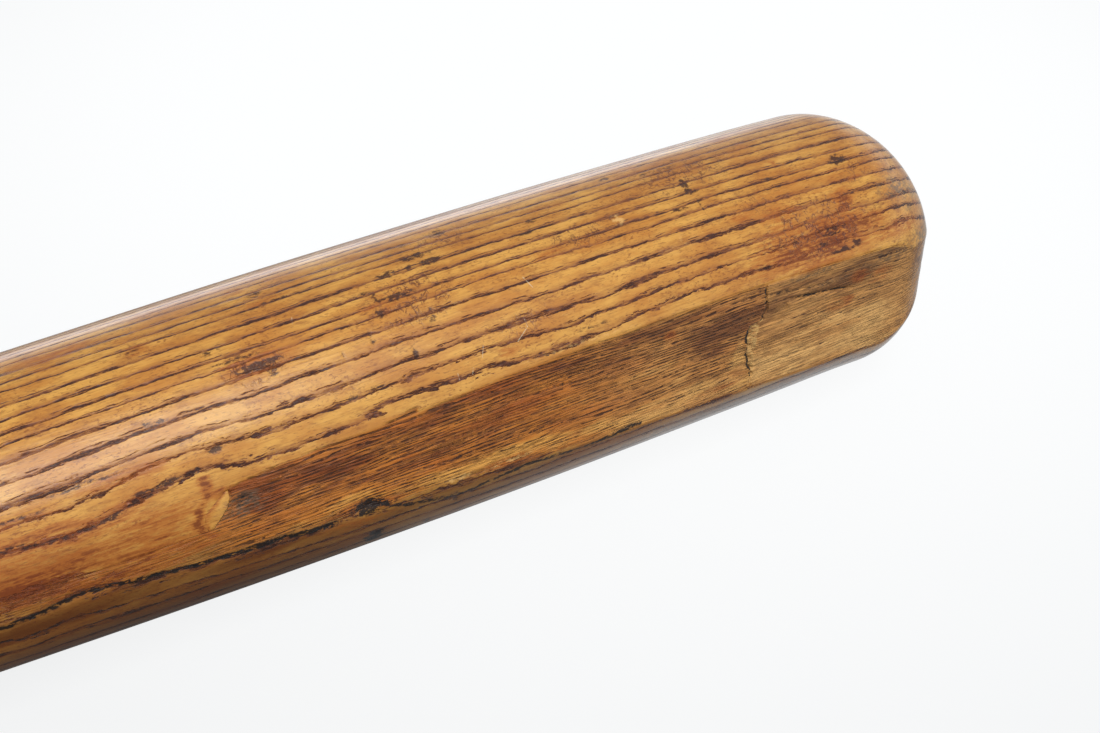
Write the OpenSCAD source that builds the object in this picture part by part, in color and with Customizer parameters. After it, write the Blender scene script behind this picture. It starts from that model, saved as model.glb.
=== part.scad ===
// A one-piece turned ash baseball bat, with a flat worn on its barrel and tape on its grip.
// The axis lies along +X from the centre of the knob's end face to the tip of the barrel.
// Places on the barrel are given as a distance from the tip and an angle about the axis,
// counted from -Y (0) up towards +Z (90).

/* [Bat] */
// Length from the knob's end face to the barrel's tip
bat_l = 864; // [780:1:915]
// Diameter of the barrel where it is widest
barrel_d = 64.3; // [57:0.1:66.3]
// Distance from the tip to the widest place
barrel_peak = 95; // [70:1:120]
// Length of the taper from the widest place down to the handle
taper_l = 613; // [560:1:640]
// Diameter of the bare handle
handle_d = 25.6; // [23:0.1:28]

/* [Barrel end] */
// Length of the rounded end
dome_l = 27.8; // [22:0.1:32]
// Fullness of the rounded end: 2 is an ellipse, and less is more pointed
dome_fullness = 1.9; // [1.7:0.05:2.3]
// Narrowing of the radius from the widest place to the tip, before the rounding
end_tuck = 2.15; // [0.5:0.05:3]

/* [Knob] */
// Diameter of the knob
knob_d = 50; // [44:0.5:54]
// Diameter of the flat part of the knob's end face
knob_face_d = 32; // [24:0.5:36]
// Length over which the end face rounds into the rim
knob_round = 7; // [5:0.5:9]
// Width of the straight rim
rim_w = 5; // [3:0.5:8]
// Length of the neck, from the rim down to the handle
neck_l = 24; // [18:0.5:30]
// Hollowness of the neck: 1 is an even S curve, and more draws in sooner
neck_draw = 1.5; // [1:0.1:2]

/* [Worn flat] */
// Angle of the flat about the axis
flat_angle = 6.5; // [0:0.5:15]
// Depth of the flat at its gauge place
flat_depth = 2.8; // [2:0.1:4]
// Distance from the tip to that gauge place
flat_gauge = 75; // [70:1:90]
// Slope of the flat, which gets deeper towards the tip, in degrees
flat_slope = 0.78; // [0.6:0.02:1.2]

/* [End flake] */
// Angle about the axis of the layer left beyond the break
flake_angle = 4; // [0:0.5:15]
// Depth of its face below the round surface, at its gauge place
flake_depth = 2.8; // [2.2:0.1:3.5]
// Distance from the tip to that gauge place
flake_gauge = 60; // [50:1:62]
// Slope of its face, in degrees
flake_slope = 1.35; // [0.8:0.05:1.8]
// Thickness of the layer
flake_t = 1.1; // [0.7:0.1:2]
// Width of the open crack at the break
crack_w = 0.4; // [0.2:0.05:0.8]
// Length of the torn ramp on the break's edge
lip_l = 3; // [1.5:0.1:5]
// Height of that ramp
lip_h = 0.7; // [0.3:0.05:1]

/* [Root chip] */
// Distance from the tip to the lifted chip where the flat runs out
chip_place = 191; // [185:1:200]
// Angle of the chip about the axis
chip_angle = 15.5; // [10:0.5:20]
// Depth of the chip's pocket
chip_sink = 0.9; // [0.5:0.1:1.5]
// Height of the lifted chip over the round surface
chip_lift = 0.3; // [0.1:0.05:0.6]
// Clearance round the chip, as a share of its outline
chip_shrink = 0.06; // [0.03:0.01:0.12]

/* [Grip tape] */
// Distance from the knob's end face to the first edge of the spiral
tape_start = 34; // [30:1:50]
// Length of the taped grip
grip_l = 216; // [150:1:280]
// Advance of the tape in each turn
tape_pitch = 13; // [10:0.5:18]
// Thickness of one layer
tape_t = 0.45; // [0.3:0.05:0.8]
// Open seam between a turn and the next
tape_seam = 0.2; // [0.1:0.05:0.5]
// Clearance between the tape and the wood
tape_gap = 0.05; // [0.02:0.01:0.2]
// Length of each band that covers an end of the spiral
band_l = 19; // [16:0.5:26]

/* [Hidden] */
$fn = 96;

ash = [0.73, 0.49, 0.23];
torn_ash = [0.66, 0.47, 0.26];
pale_ash = [0.80, 0.62, 0.36];
cloth_black = [0.14, 0.13, 0.13];

barrel_r = barrel_d / 2;
handle_r = handle_d / 2;
knob_r = knob_d / 2;
knob_face_r = knob_face_d / 2;
rim_end = knob_round + rim_w;
neck_end = rim_end + neck_l;
taper_end = barrel_peak + taper_l;

// The barrel: radius at a distance from the tip, as a smooth taper with a rounded end
function taper_part(t) = 3 * pow(t, 2) - 2 * pow(t, 3);
function clamped(v) = max(0, min(1, v));
function tuck_at(s) = end_tuck * pow(clamped(1 - s / barrel_peak), 4);
function side_at(s) =
    s > barrel_peak
        ? barrel_r - (barrel_r - handle_r) * taper_part(clamped((s - barrel_peak) / taper_l))
        : barrel_r - tuck_at(s);
function dome_at(s) = pow(1 - pow(clamped(1 - s / dome_l), dome_fullness), 1 / dome_fullness);
function barrel_at(s) = side_at(s) * dome_at(s);

// The neck: radius at a distance from the knob's end face
function neck_part(x) = (1 + cos(180 * clamped((x - rim_end) / neck_l))) / 2;
function neck_at(x) = (knob_r - handle_r) * pow(neck_part(x), neck_draw);
function wood_at(x) = barrel_at(bat_l - x) + neck_at(x);

// The turned outline, from the knob's end face to the tip
round_steps = 6;
neck_steps = 12;
side_steps = 44;
dome_steps = 16;
knob_outline = [
    for (i = [0 : round_steps])
        let (turn = 90 * i / round_steps)
            [knob_face_r + (knob_r - knob_face_r) * sin(turn), knob_round * (1 - cos(turn))]
];
neck_outline = [
    for (i = [0 : neck_steps])
        let (x = rim_end + neck_l * i / neck_steps) [wood_at(x), x]
];
side_start = max(neck_end + 1, bat_l - taper_end);
side_outline = [
    for (i = [0 : side_steps])
        let (x = side_start + (bat_l - dome_l - side_start) * i / side_steps) [wood_at(x), x]
];
dome_outline = [
    for (i = [1 : dome_steps - 1])
        let (s = dome_l * (1 - sin(90 * i / dome_steps))) [barrel_at(s), bat_l - s]
];
turned_outline = concat(
    [[0, 0]], knob_outline, neck_outline, side_outline, dome_outline, [[0, bat_l]]);

module turned_blank() {
    rotate([0, 90, 0])
        rotate_extrude()
            polygon(turned_outline);
}

// Puts what it holds on the barrel: local Z points out at the angle, and local X is
// minus the distance from the tip
module on_barrel(angle) {
    translate([bat_l, 0, 0])
        rotate([90 - angle, 0, 0])
            children();
}

// Everything outside a sloping plane, which is so far from the axis at its gauge place
far_w = 2 * barrel_d;
module outside_plane(distance, gauge, slope) {
    translate([-gauge, 0, distance])
        rotate([0, slope, 0])
            translate([-bat_l / 2, -far_w / 2, 0])
                cube([bat_l, far_w, far_w]);
}

// The break across the flat, as [distance from the tip, place across the grain]
break_line = [
    [63, 16], [62.7, 9], [62.7, 7], [63.8, 3.4], [66.9, 3.4],
    [68.1, -1], [67.7, -5.5], [66.5, -11], [66.9, -16]];
module beyond_break(back_off) {
    linear_extrude(far_w)
        polygon(concat(
            [for (p = break_line) [back_off - p[0], p[1]]],
            [[barrel_r, -far_w / 4], [barrel_r, far_w / 4]]));
}

flat_d = barrel_r - flat_depth;
flake_d = barrel_r - flake_depth;
module flake_room(back_off) {
    intersection() {
        on_barrel(flake_angle) outside_plane(flake_d - flake_t, flake_gauge, flake_slope);
        on_barrel(flake_angle) beyond_break(back_off);
    }
}

// The crescent outline of the chip, round its own centre
chip_outline = [
    [3.2, 4.4], [1.2, 4.8], [-2.4, 2.2], [-4.6, -1.6], [-4.9, -4.2],
    [-3.2, -4.4], [-1.6, -1.4], [1, 1.6]];
chip_r = barrel_at(chip_place);
module chip_form(part, height) {
    on_barrel(chip_angle)
        translate([-chip_place, 0, chip_r - chip_sink])
            linear_extrude(height)
                scale(part)
                    polygon(chip_outline);
}

// The bat itself, turned from one billet
module ash_body() {
    color(ash)
        difference() {
            turned_blank();
            on_barrel(flat_angle) outside_plane(flat_d, flat_gauge, flat_slope);
            flake_room(0);
            chip_form(1, far_w);
        }
}

// The split that runs along the flake, as [distance from the tip, place across the grain]
split_line = [[57, 8.1], [51, 7.5], [43, 6.6], [37.5, 5], [43, 5.7], [51, 7]];

// The layer of the worn face that is left beyond the break
module end_flake() {
    color(torn_ash)
        difference() {
            intersection() {
                turned_blank();
                flake_room(crack_w);
            }
            on_barrel(flake_angle) outside_plane(flake_d, flake_gauge, flake_slope);
            on_barrel(flake_angle)
                linear_extrude(far_w)
                    polygon([for (p = split_line) [-p[0], p[1]]]);
            on_barrel(flake_angle) torn_ramp();
        }
}

// The sloping torn edge of the flake, on the side that reaches furthest to the handle
lip_top = 65;
module torn_ramp() {
    translate([-lip_top, 0, flake_d])
        rotate([0, flake_slope - atan(lip_h / lip_l), 0])
            translate([-far_w, -far_w / 2, 0])
                cube([far_w, far_w, far_w]);
}

// The lifted chip at the end of the flat
module root_chip() {
    color(pale_ash) chip_form(1 - chip_shrink, chip_sink + chip_lift);
}

// The tape's spiral: each turn tucks under the next one, so it is thickest at its first edge
turn_steps = 24;
tape_w = tape_pitch - tape_seam;
spiral_turns = (grip_l - tape_w) / tape_pitch;
ring_count = floor(spiral_turns * turn_steps) + 1;
chord_rise = 1 / cos(180 / turn_steps);
tape_thick = 2 * tape_t;
function tape_seat(x) = (wood_at(x) + tape_gap) * chord_rise;
function round_axis(x, r, turn) = [x, r * sin(turn), r * cos(turn)];
function tape_ring(i) =
    let (
        turn = 360 * i / turn_steps,
        low = tape_start + tape_pitch * i / turn_steps,
        high = low + tape_w,
        mid = (low + high) / 2)
    [
        round_axis(low, tape_seat(low), turn),
        round_axis(mid, tape_seat(mid), turn),
        round_axis(high, tape_seat(high), turn),
        round_axis(high, tape_seat(high) + tape_t, turn),
        round_axis(mid, tape_seat(mid) + (tape_thick + tape_t) / 2, turn),
        round_axis(low, tape_seat(low) + tape_thick, turn)
    ];
ring_size = 6;
spiral_points = [for (i = [0 : ring_count - 1]) each tape_ring(i)];
spiral_sides = [
    for (i = [0 : ring_count - 2], j = [0 : ring_size - 1])
        let (
            a = i * ring_size + j,
            b = i * ring_size + (j + 1) % ring_size,
            c = b + ring_size,
            d = a + ring_size)
        each [[a, b, c], [a, c, d]]
];
first_end = [for (j = [ring_size - 1 : -1 : 0]) j];
last_end = [for (j = [0 : ring_size - 1]) (ring_count - 1) * ring_size + j];

module spiral_tape() {
    color(cloth_black)
        polyhedron(spiral_points, concat(spiral_sides, [first_end, last_end]));
}

// A band of tape over one end of the spiral: it lies on the spiral over the length of one
// turn, and on the wood over the rest
band_steps = 4;
band_over = tape_pitch;
function band_seat(x, over) = tape_seat(x) + (over ? tape_thick + tape_gap : 0);
module band(first, step, last, over_first) {
    lower = [for (i = [0 : band_steps]) first + (step - first) * i / band_steps];
    upper = [for (i = [0 : band_steps]) step + (last - step) * i / band_steps];
    inner = concat(
        [for (x = lower) [band_seat(x, over_first), x]],
        [for (x = upper) [band_seat(x, !over_first), x]]);
    outer = [for (i = [len(inner) - 1 : -1 : 0]) [inner[i][0] + tape_t, inner[i][1]]];
    rotate([0, 90, 0])
        rotate_extrude()
            polygon(concat(inner, outer));
}

band_edge = band_l - band_over;
module knob_band() {
    color(cloth_black)
        band(tape_start - band_edge, tape_start - tape_gap, tape_start + band_over, false);
}

spiral_end = tape_start + grip_l;
module top_band() {
    color(cloth_black)
        band(spiral_end - band_over, spiral_end + tape_gap, spiral_end + band_edge, true);
}

ash_body();
end_flake();
root_chip();
spiral_tape();
knob_band();
top_band();
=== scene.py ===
from math import pi, radians

import bmesh
import bpy
import numpy as np
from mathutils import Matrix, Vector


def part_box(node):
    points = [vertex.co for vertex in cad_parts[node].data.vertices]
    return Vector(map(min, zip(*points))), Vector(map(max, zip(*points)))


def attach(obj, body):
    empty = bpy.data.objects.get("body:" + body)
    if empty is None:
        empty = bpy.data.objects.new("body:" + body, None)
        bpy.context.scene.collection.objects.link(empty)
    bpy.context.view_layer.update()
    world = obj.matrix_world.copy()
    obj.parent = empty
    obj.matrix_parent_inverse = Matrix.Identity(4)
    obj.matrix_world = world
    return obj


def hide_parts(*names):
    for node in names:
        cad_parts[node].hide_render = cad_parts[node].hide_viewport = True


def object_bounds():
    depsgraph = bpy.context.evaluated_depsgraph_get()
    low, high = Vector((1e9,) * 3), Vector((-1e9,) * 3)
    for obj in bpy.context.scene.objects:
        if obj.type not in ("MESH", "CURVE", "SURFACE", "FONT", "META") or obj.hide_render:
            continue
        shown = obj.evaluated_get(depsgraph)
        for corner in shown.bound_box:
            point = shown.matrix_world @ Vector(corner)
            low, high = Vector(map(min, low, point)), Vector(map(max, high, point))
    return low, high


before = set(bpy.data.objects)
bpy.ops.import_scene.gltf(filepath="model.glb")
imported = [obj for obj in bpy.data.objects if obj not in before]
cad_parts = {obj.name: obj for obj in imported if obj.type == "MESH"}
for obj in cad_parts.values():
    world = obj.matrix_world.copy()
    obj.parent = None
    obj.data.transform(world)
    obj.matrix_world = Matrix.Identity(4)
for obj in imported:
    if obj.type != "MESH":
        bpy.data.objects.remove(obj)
cad_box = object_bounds()

# ---------------------------------------------------------------------------
# The view: a close look at the barrel's end, from the knob's side, the front
# and above, through a 50 mm lens. The object has no cord.
# ---------------------------------------------------------------------------
MM = 0.001
tip_x = cad_box[1].x

camera = bpy.data.objects.new("barrel_view", bpy.data.cameras.new("barrel_view"))
bpy.context.scene.collection.objects.link(camera)
camera.data.lens = 50
camera.data.sensor_width = 36
camera.data.clip_start = 5 * MM
camera.location = (tip_x - 241.8 * MM, -245.9 * MM, 206.8 * MM)
camera.rotation_euler = (radians(90 - 37.62), 0, radians(-29.65))
bpy.context.scene.camera = camera

# ---------------------------------------------------------------------------
# Ash body: knob, handle, taper and barrel, turned from one billet of
# ring-porous ash and oiled. Its face grain has worn to a flat near the tip.
# ---------------------------------------------------------------------------
# Sizes are in millimetres. s is the distance from the tip along the axis, and
# angles go about the axis in degrees, from -Y (0) up towards +Z (90).
body_low, body_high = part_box("ash_body")
bat_l = body_high.x / MM
barrel_r = (body_high.z - body_low.z) / 2 / MM
# One degree round the barrel, as a length
degree_l = radians(1) * barrel_r
barrel_peak = 95
taper_l = 613
handle_r = 12.8
end_tuck = 2.15
dome_l = 27.8
dome_fullness = 1.9
knob_r = 25
knob_face_r = 16
knob_round = 7
rim_end = 12
neck_l = 24
neck_draw = 1.5


def turned_radius(s):
    """The radius that the lathe left, at s from the tip."""
    t = np.clip((s - barrel_peak) / taper_l, 0, 1)
    taper = barrel_r - (barrel_r - handle_r) * (3 * t**2 - 2 * t**3)
    tuck = end_tuck * np.clip(1 - s / barrel_peak, 0, 1) ** 4
    dome = np.clip(1 - s / dome_l, 0, 1) ** dome_fullness
    barrel = (taper - tuck) * (1 - dome) ** (1 / dome_fullness)
    x = bat_l - s
    neck = (1 + np.cos(pi * np.clip((x - rim_end) / neck_l, 0, 1))) / 2
    knob = barrel + (knob_r - handle_r) * neck**neck_draw
    around = np.sqrt(1 - np.clip(1 - x / knob_round, 0, 1) ** 2)
    return np.where(x < knob_round, knob_face_r + (knob_r - knob_face_r) * around, knob)


def grain(u, v, seed):
    """Smooth noise from -1 to 1, one bump per unit of u and v."""
    iu, iv = np.floor(u), np.floor(v)
    fu, fv = u - iu, v - iv
    fu, fv = fu * fu * (3 - 2 * fu), fv * fv * (3 - 2 * fv)

    def corner(du, dv):
        h = np.sin((iu + du) * 127.1 + (iv + dv) * 311.7 + seed * 74.7) * 43758.5453
        return (h - np.floor(h)) * 2 - 1

    low = corner(0, 0) * (1 - fu) + corner(1, 0) * fu
    high = corner(0, 1) * (1 - fu) + corner(1, 1) * fu
    return low * (1 - fv) + high * fv


def sunken(s, angle):
    """How far the turned wood has sunk as it dried, in broad dips."""
    return 0.05 * (1 - grain(s / 33, angle * degree_l / 11, 6))


def soft_min(a, b, rounding):
    """The lower of two surfaces, with the edge between them worn round."""
    h = np.clip(0.5 + 0.5 * (b - a) / rounding, 0, 1)
    return b * (1 - h) + a * h - rounding * h * (1 - h)


def smooth(value, low, high):
    """A smooth step, from 0 at low to 1 at high."""
    t = np.clip((value - low) / (high - low), 0, 1)
    return t * t * (3 - 2 * t)


# The worn flat on the knob's side of the break, and the face of the layer beyond it.
# Each is a plane: its distance from the axis at a gauge place, its slope, and the
# angle that it faces, which turns a little along the bat.
flat_d, flat_gauge, flat_slope = barrel_r - 2.82, 75, 0.0136
flat_faces, flat_twist = 5.2, 0.056
flake_d, flake_gauge, flake_slope = barrel_r - 2.8, 60, 0.0236
flake_faces, flake_twist = 4.5, 0.1
edge_worn = 0.3
# Near the tip the layer's face follows the rounded end, at this share of its radius
end_share = 0.93

# The break, as the distance from the tip at each angle, from the low edge upwards
break_angles = (-30, -18, -13, -3.4, 5, 12.2, 12.8, 18, 20, 23, 27, 34)
break_places = (66.9, 66.9, 66.5, 67.7, 68.1, 66.9, 63.8, 62.9, 62.6, 62.7, 63.1, 63.1)
break_row = 65.3


def break_at(angle):
    """The break's distance from the tip, with its jagged edge."""
    jagged = 0.3 * grain(angle / 1.7, angle * 0, 5)
    return np.interp(angle, break_angles, break_places) + jagged


def flat_distance(s):
    return flat_d + flat_slope * (s - flat_gauge)


def flake_distance(s):
    plane = flake_d + flake_slope * (s - flake_gauge)
    return soft_min(plane, end_share * turned_radius(s), 1.2)


def plane_reach(angle, distance, faces):
    """The radius at which a plane is met, if it is at a distance and faces an angle."""
    turn = np.clip(angle - faces, -75, 75)
    return np.where(np.abs(angle - faces) < 75, distance / np.cos(np.radians(turn)), 99.0)


def flat_reach(s, angle):
    return plane_reach(angle, flat_distance(s), flat_faces + flat_twist * (s - flat_gauge))


def flake_reach(s, angle):
    return plane_reach(angle, flake_distance(s), flake_faces + flake_twist * (s - flake_gauge))


def near(s, angle, place, length, width):
    """A soft blot on the barrel: 1 at its middle, and 0 well outside its size."""
    s0, angle0 = place
    across = (angle - angle0) * degree_l
    return np.exp(-(((s - s0) / length) ** 2) - (across / width) ** 2)


def along(s, angle, places, width):
    """A soft line through places on the barrel, each (s, angle), s rising."""
    middle = np.interp(s, [p[0] for p in places], [p[1] for p in places])
    inside = (s > places[0][0]) & (s < places[-1][0])
    across = (angle - middle) * degree_l
    return np.where(inside, np.exp(-((across / width) ** 2)), 0.0)


# The black crevice that runs below the flat, the pit at its end, and the low place
# beside the lifted chip where the flat runs out
crevice = ((168, -9.6), (171, -8.8), (179, -6.6), (190, -5.9), (200, -4.5), (209, -1.8),
           (214, -0.5), (219, 0.5), (227, -2.5), (260, -6))
crevice_d = 0.3
pit, pit_d = (161.5, -6.2), 1.0
pit_end, pit_end_d = (168, -8), 0.35
scarp, scarp_d = (186.2, 16), 0.45
# The rounded end is fuller below the flat
full_place, full_h = (17, -38), 0.9
# The dark line under the crest, between the pit and the layer
under_line = ((96, -15), (110, -17), (117, -15.8), (124, -14.2), (131, -15.5), (140, -18.2),
              (148, -14.8), (152, -13), (158, -9))

# The chip's crescent, as the middle of its line at each angle, and its width
chip_angles = (8.2, 10.5, 15, 18.5, 21.6)
chip_middles = (193.4, 193.1, 191.7, 190.0, 188.7)
chip_widths = (0.5, 2.2, 4.2, 2.8, 0.4)
chip_sink = 0.8
# The dark, reddish line that bounds it on the knob's side, as (angle, s)
chip_arc = ((5, 192.6), (8.5, 194.6), (13, 195.4), (17.5, 194.7), (22, 192.4), (24, 192), (29, 192.4))


def chip_side(s, angle):
    """Across the chip's line: -1 at its edge towards the tip and 1 at the other one."""
    middle = np.interp(angle, chip_angles, chip_middles)
    return (s - middle) / (np.interp(angle, chip_angles, chip_widths) / 2)


def under_chip(s, angle):
    """1 where the chip covers the body, and 0 elsewhere."""
    inside = (angle > chip_angles[0]) & (angle < chip_angles[-1])
    side = chip_side(s, angle)
    return np.where(inside, smooth(side, -1.3, -0.8) * (1 - smooth(side, 0.1, 0.7)), 0.0)


def chip_edge(angle):
    """The chip's edge towards the tip, where the worn face ends."""
    middle = np.interp(angle, chip_angles, chip_middles)
    return middle - np.interp(angle, chip_angles, chip_widths) / 2


def worn_face(s, angle):
    """The outer surface over the barrel: turned, then worn, split, dented and pitted."""
    round_face = turned_radius(s)
    across = angle * degree_l
    beyond = s < break_at(angle)
    plane = np.where(beyond, flake_reach(s, angle), flat_reach(s, angle))
    on_flat = smooth(round_face - plane, -0.05, 0.35)
    strands = 0.05 * grain(s / 12, across / 1.3, 2) + 0.05 * grain(s / 21, across / 3, 3)
    hollows = 0.08 * grain(s / 21, across / 8, 4)
    face = soft_min(round_face, plane, edge_worn) + on_flat * (strands + hollows)
    face = face - sunken(s, angle) * smooth(s, 4, 30)
    # The crest below the flat is rubbed down
    face = soft_min(face, plane_reach(angle, -body_low.y / MM - 0.02, 0), 0.05)
    face = face + full_h * near(s, angle, full_place, 13, 13)
    uneven = smooth(grain(s / 7, across * 0, 7), -0.9, 0.3)
    face = face - crevice_d * along(s, angle, crevice, 0.8) * uneven
    face = face - pit_d * near(s, angle, pit, 2.8, 2.0) - pit_end_d * near(s, angle, pit_end, 4, 1)
    return face - scarp_d * near(s, angle, scarp, 3.0, 3.6) * (s < chip_edge(angle) + 0.6)


def flake_span(s):
    """The lowest and highest angle of the layer beyond the break."""
    facing = flake_faces + flake_twist * (s - flake_gauge)
    reach = flake_distance(s) / np.maximum(turned_radius(s), 1)
    half = np.degrees(np.arccos(np.clip(reach, -1, 1)))
    return facing - half, facing + half


flake_t = 1.1
flake_tip = 17.0


def flake_under(s, angle):
    """The split surface under the layer, which comes up to the face at its edges."""
    low, high = flake_span(s)
    out = np.clip(np.abs((angle - low) / np.maximum(high - low, 0.01) * 2 - 1), 0, 1)
    thick = flake_t * (1 - out**8) * smooth(s, flake_tip + 1, flake_tip + 16)
    return worn_face(s, angle) - thick


def angle_spread(angle):
    """Draws the mesh's columns together round the flat, where the detail is."""
    return angle - np.degrees(0.45) * np.sin(np.radians(angle - flake_faces))


def break_drawn(s, angle):
    """Bends the mesh's rows so that one of them follows the break."""
    pull = np.exp(-(((s - break_row) / 6) ** 2)) * smooth(32 - np.abs(angle - 4), 0, 4)
    return s + (break_at(angle) - break_row) * pull


dome_rows = dome_l * (1 - np.sin(np.radians(np.linspace(0, 90, 27))))
near_end = 236
near_rows = np.append(np.arange(dome_l + 0.5, near_end, 0.66), (break_row, break_row - 0.3))
taper_rows = np.arange(near_end + 8, bat_l - rim_end - neck_l, 14)
neck_rows = bat_l - rim_end - np.linspace(0, neck_l, 11)
knob_rows = bat_l - knob_round * (1 - np.sin(np.radians(np.linspace(0, 90, 9))))
rows = np.unique(np.concatenate([dome_rows, near_rows, taper_rows, neck_rows, knob_rows]))
columns = 236

blank = bmesh.new()
outline = [blank.verts.new((tip_x - s * MM, -max(turned_radius(s), 0.0) * MM, 0)) for s in rows]
outline.append(blank.verts.new((0, 0, 0)))
edges = [blank.edges.new(pair) for pair in zip(outline, outline[1:])]
bmesh.ops.spin(blank, geom=outline + edges, axis=(1, 0, 0), cent=(0, 0, 0),
               angle=2 * pi, steps=columns, use_merge=True)
bmesh.ops.remove_doubles(blank, verts=blank.verts, dist=0.001 * MM)
bmesh.ops.recalc_face_normals(blank, faces=blank.faces)
for face in blank.faces:
    face.smooth = True


def piece_from(form, name):
    """Makes the shaped form an object of its own, at the origin."""
    mesh = bpy.data.meshes.new(name)
    form.to_mesh(mesh)
    form.free()
    piece = bpy.data.objects.new(name, mesh)
    bpy.context.scene.collection.objects.link(piece)
    return piece


def points_of(piece):
    """The places of the piece's points, as three rows: x, y and z."""
    points = np.zeros(len(piece.data.vertices) * 3)
    piece.data.vertices.foreach_get("co", points)
    return points.reshape(-1, 3).T


def places_of(piece):
    """Each point's distance from the tip, angle and radius, in millimetres and degrees."""
    x, y, z = points_of(piece) / MM
    return bat_l - x, np.degrees(np.arctan2(z, -y)), np.hypot(y, z)


def move_to(piece, s, angle, radius):
    """Puts the piece's points where they belong, and fits its faces to them."""
    turn = np.radians(angle)
    points = np.stack([bat_l - s, -radius * np.cos(turn), radius * np.sin(turn)], 1) * MM
    piece.data.vertices.foreach_set("co", points.ravel())
    piece.data.update()


def record_on(piece, name, values):
    """Keeps one number for each point, for the finish to read."""
    layers = piece.data.attributes
    if name not in layers:
        layers.new(name, "FLOAT", "POINT")
    layers[name].data.foreach_set("value", values.astype(np.float32))


bat = piece_from(blank, "turned_bat")
s, angle, radius = places_of(bat)
turned_only = (s > near_end + 4) | (radius < 0.01)
angle = angle_spread(angle)
angle = (angle + 180) % 360 - 180
s = np.where(turned_only, s, break_drawn(s, angle))
low, high = flake_span(s)
under_flake = (s < break_at(angle) - 0.1) & (angle > low) & (angle < high) & (s > flake_tip - 1)
shaped = np.where(under_flake, flake_under(s, angle) - 0.03, worn_face(s, angle))
shaped = shaped - chip_sink * under_chip(s, angle)
move_to(bat, s, angle, np.where(turned_only, radius, shaped))

# What the years left on the wood, as blots, with painted highlight among the pale ones: where, how long, how
# wide and how strong
dark_marks = [
    ((175, 60.5), 5, 0.9, 1.0), ((178, 66), 7, 0.6, 0.6), ((173, 57), 1.2, 1.3, 0.6),
    ((150, 75.5), 3, 0.6, 0.6), ((148.7, 65.5), 1.1, 1.0, 1.0), ((148, 72), 0.5, 2, 0.6),
    ((143.5, 70), 4, 0.8, 1.0), ((142, 65), 1.2, 0.5, 0.8), ((135.5, 86), 4, 0.9, 1.0),
    ((143, 81), 2, 0.8, 1.0), ((133, 81), 3.6, 0.8, 0.9), ((138, 81), 1, 0.8, 0.6),
    ((127.5, 96), 1.7, 1.3, 0.9), ((136, 95), 2, 0.8, 0.5), ((166, 87), 3, 0.6, 0.8),
    ((161, 86), 4, 0.5, 0.7), ((169, 93), 2, 1.0, 0.7), ((197, 52.5), 2.4, 0.5, 0.9),
    ((199, 54), 0.7, 0.9, 0.7), ((188.5, 36.8), 1.5, 0.5, 1.0), ((160, 38.4), 1.6, 0.6, 0.6),
    ((155, 39.6), 2.4, 0.5, 0.6), ((196, 84), 2.6, 0.7, 0.5), ((183, 71.5), 3, 0.5, 0.7),
    ((71, 75.5), 2.2, 0.6, 1.0), ((70.8, 80), 0.7, 2.2, 1.1), ((70.5, 68), 0.4, 2.5, 0.5),
    ((84.5, 99), 2.2, 0.8, 0.7), ((76, 93), 2.5, 0.6, 0.7), ((70, 93), 2.5, 0.6, 0.7),
    ((68, 98), 2.6, 0.6, 0.6), ((32, 70), 2.2, 1.1, 1.3), ((33, 69), 0.8, 1.4, 0.6),
    ((52, 70), 3, 0.6, 0.5), ((90, 69.5), 7, 0.5, 0.5), ((76, 69), 3, 0.5, 0.7),
    ((103, 69.5), 2, 0.8, 0.4), ((62, 35), 2.2, 0.6, 0.8), ((46, 36.5), 2.4, 0.7, 0.6),
    ((42, 41.5), 5, 0.6, 0.6), ((37, 33.5), 1.2, 0.8, 1.0), ((43.5, 39.5), 4, 0.5, 0.7),
    ((40.5, 32), 4, 0.6, 0.9), ((37, 33), 2, 0.8, 0.5),
    ((52.5, 41.5), 0.9, 0.7, 0.6), ((145, 46), 0.7, 2.0, 0.6), ((158.8, 54), 0.3, 1.6, 0.6),
    ((141.5, -19), 0.9, 1.8, 1.0), ((159.5, -25), 1.3, 1.2, 1.2), ((159.8, -31), 1.5, 1.6, 1.3),
    ((147, -35), 0.8, 1.2, 0.9), ((108, 86), 2, 0.8, 0.6), ((111, 80.5), 4, 0.6, 0.6),
    ((203, 30.5), 4, 0.6, 0.6), ((213, 40), 10, 0.7, 0.5), ((225, 36), 7, 0.6, 0.5),
    ((106, 35.5), 6, 0.5, 0.5), ((28, 23.5), 6, 0.45, 0.6), ((22, 26), 5, 0.4, 0.35),
    ((38, 22.5), 5, 0.4, 0.5), ((53, 8), 3, 0.35, 0.5), ((56, 3.5), 4, 0.3, 0.45),
    ((44, -1), 5, 0.3, 0.4), ((34, 11), 4, 0.35, 0.4), ((137, 8), 6, 0.5, 0.45),
    ((143, 1), 5, 0.7, 0.5), ((131, 12), 4, 0.5, 0.4), ((152, 56), 1.0, 0.6, 0.5),
    ((152.5, 58), 0.3, 2.2, 0.6), ((139, 57), 1.4, 0.9, 0.5), ((138.5, 60), 0.4, 1.6, 0.5),
]
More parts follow.
